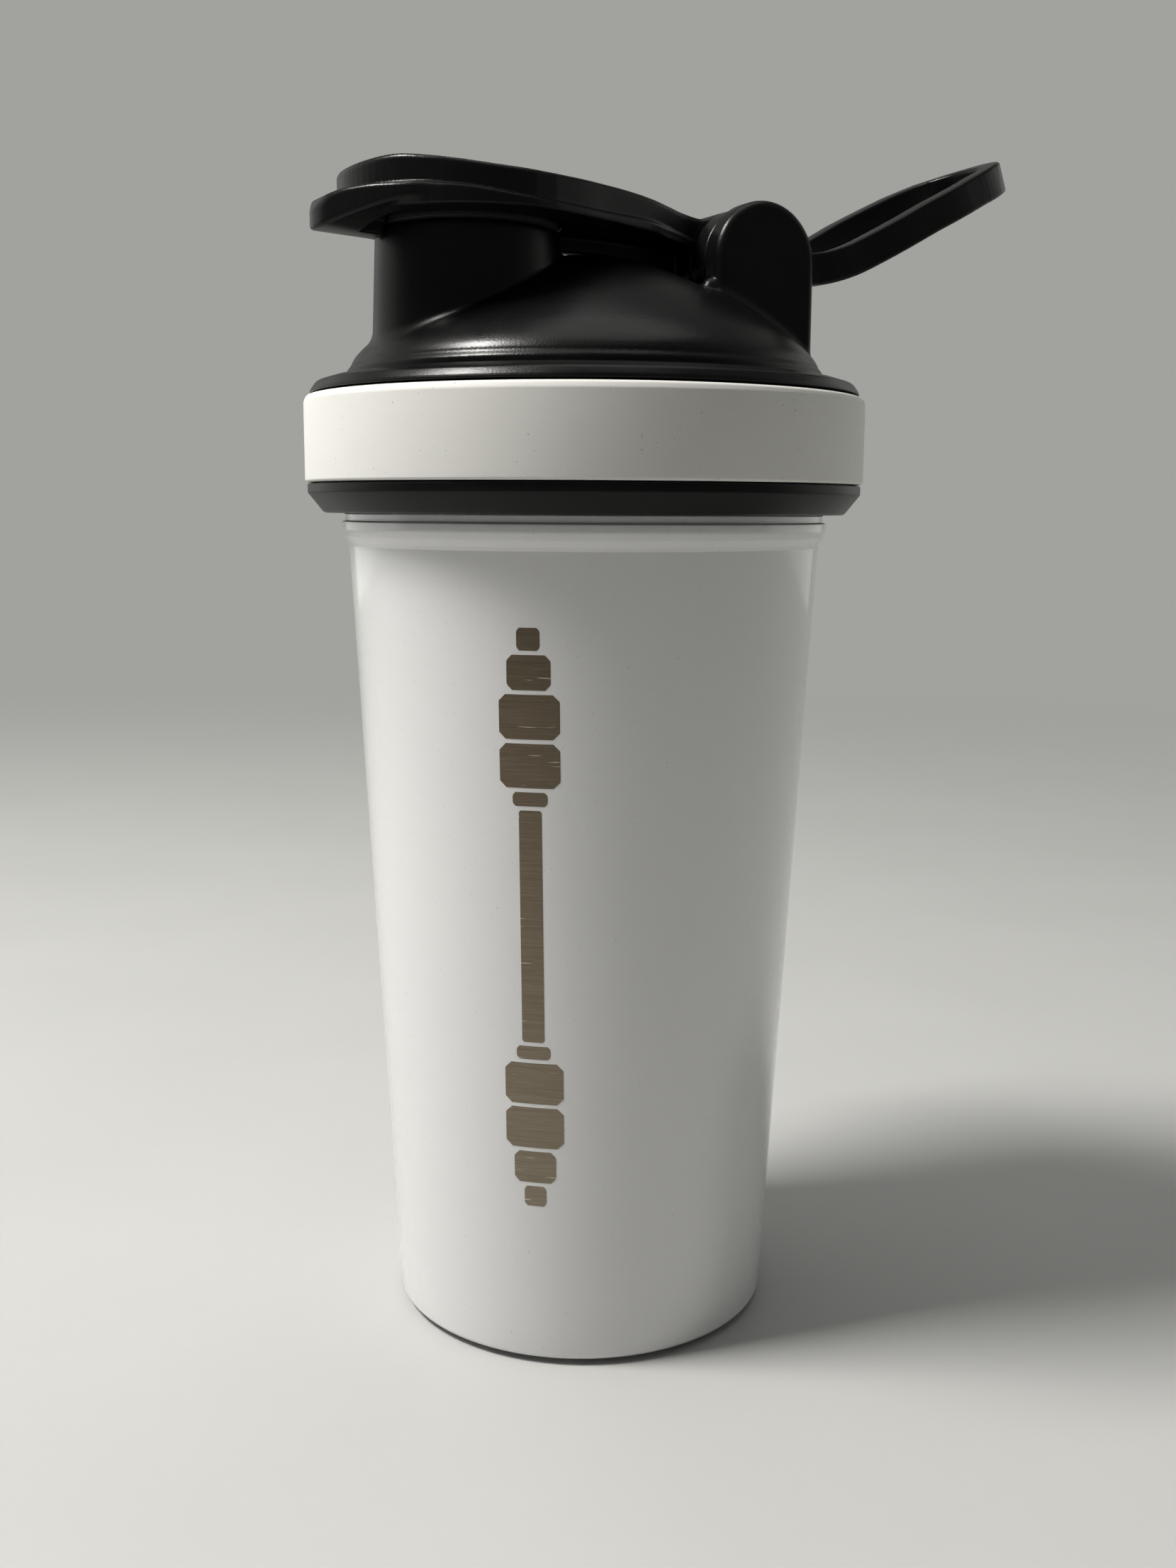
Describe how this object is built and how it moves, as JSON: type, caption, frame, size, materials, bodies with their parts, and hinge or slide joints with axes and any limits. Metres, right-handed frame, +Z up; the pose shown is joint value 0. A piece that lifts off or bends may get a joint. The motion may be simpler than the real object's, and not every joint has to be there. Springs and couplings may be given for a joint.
{
  "type": "protein shaker bottle",
  "caption": "Insulated steel shaker bottle with a tapered white cup, screw-on black lid with flip cap, spout and carry loop, and a wire whisk ball inside.",
  "frame": {"origin": "centre of the base, on the cup's axis, at the plane that the bottle stands on", "axes": "+Z up along the cup's axis; the spout is on -X and the hinge and carry loop on +X; the hinge pin runs along Y"},
  "size_m": [0.1396, 0.098, 0.2139],
  "materials": {
    "white_coat": "gloss white powder coat",
    "bare_steel": "satin stainless steel",
    "solder_glass": "dark sealing glass",
    "getter_metal": "sintered, matte",
    "black_plastic": "satin, fine moulded grain",
    "cap_plastic": "satin, fine moulded grain",
    "loop_plastic": "satin, fine moulded grain",
    "white_silicone": "matte white silicone",
    "clear_silicone": "translucent grey silicone",
    "black_silicone": "matte black silicone",
    "pin_steel": "ground",
    "wire_steel": "polished stainless wire"
  },
  "bodies": {
    "cup": {"outer_shell": "white_coat", "inner_shell": "bare_steel", "base_shell": "bare_steel", "base_disc": "bare_steel", "vacuum_plug": "solder_glass", "getter": "getter_metal"},
    "seal_ring": {"lid_seal": "clear_silicone"},
    "lid": {"lid_shell": "black_plastic", "grip_band": "white_silicone", "hinge_pin": "pin_steel"},
    "cap": {"flip_cap": "cap_plastic", "spout_seal": "black_silicone"},
    "loop": {"carry_loop": "loop_plastic"},
    "whisk": {"whisk_ball": "wire_steel"}
  },
  "joints": [
    {"name": "lid_lift", "type": "slide", "parent": "cup", "child": "seal_ring", "axis": [0, 0, 1], "range_m": [0, 0.018]},
    {"name": "lid_turn", "type": "hinge", "parent": "seal_ring", "child": "lid", "pos_m": [0, 0, 0.155], "axis": [0, 0, 1], "range_deg": [0, 720]},
    {"name": "cap_flip", "type": "hinge", "parent": "lid", "child": "cap", "pos_m": [0.0272, 0, 0.1889], "axis": [0, 1, 0], "range_deg": [0, 100]},
    {"name": "loop_swing", "type": "hinge", "parent": "lid", "child": "loop", "pos_m": [0.0272, 0, 0.1889], "axis": [0, -1, 0], "range_deg": [-38, 25]},
    {"name": "whisk_float", "type": "slide", "parent": "cup", "child": "whisk", "axis": [0, 0, 1], "range_m": [0, 0.1]}
  ],
  "couplings": [
    {"joint": "lid_lift", "follows": "lid_turn", "m_per_rad": 0.0014324}
  ]
}
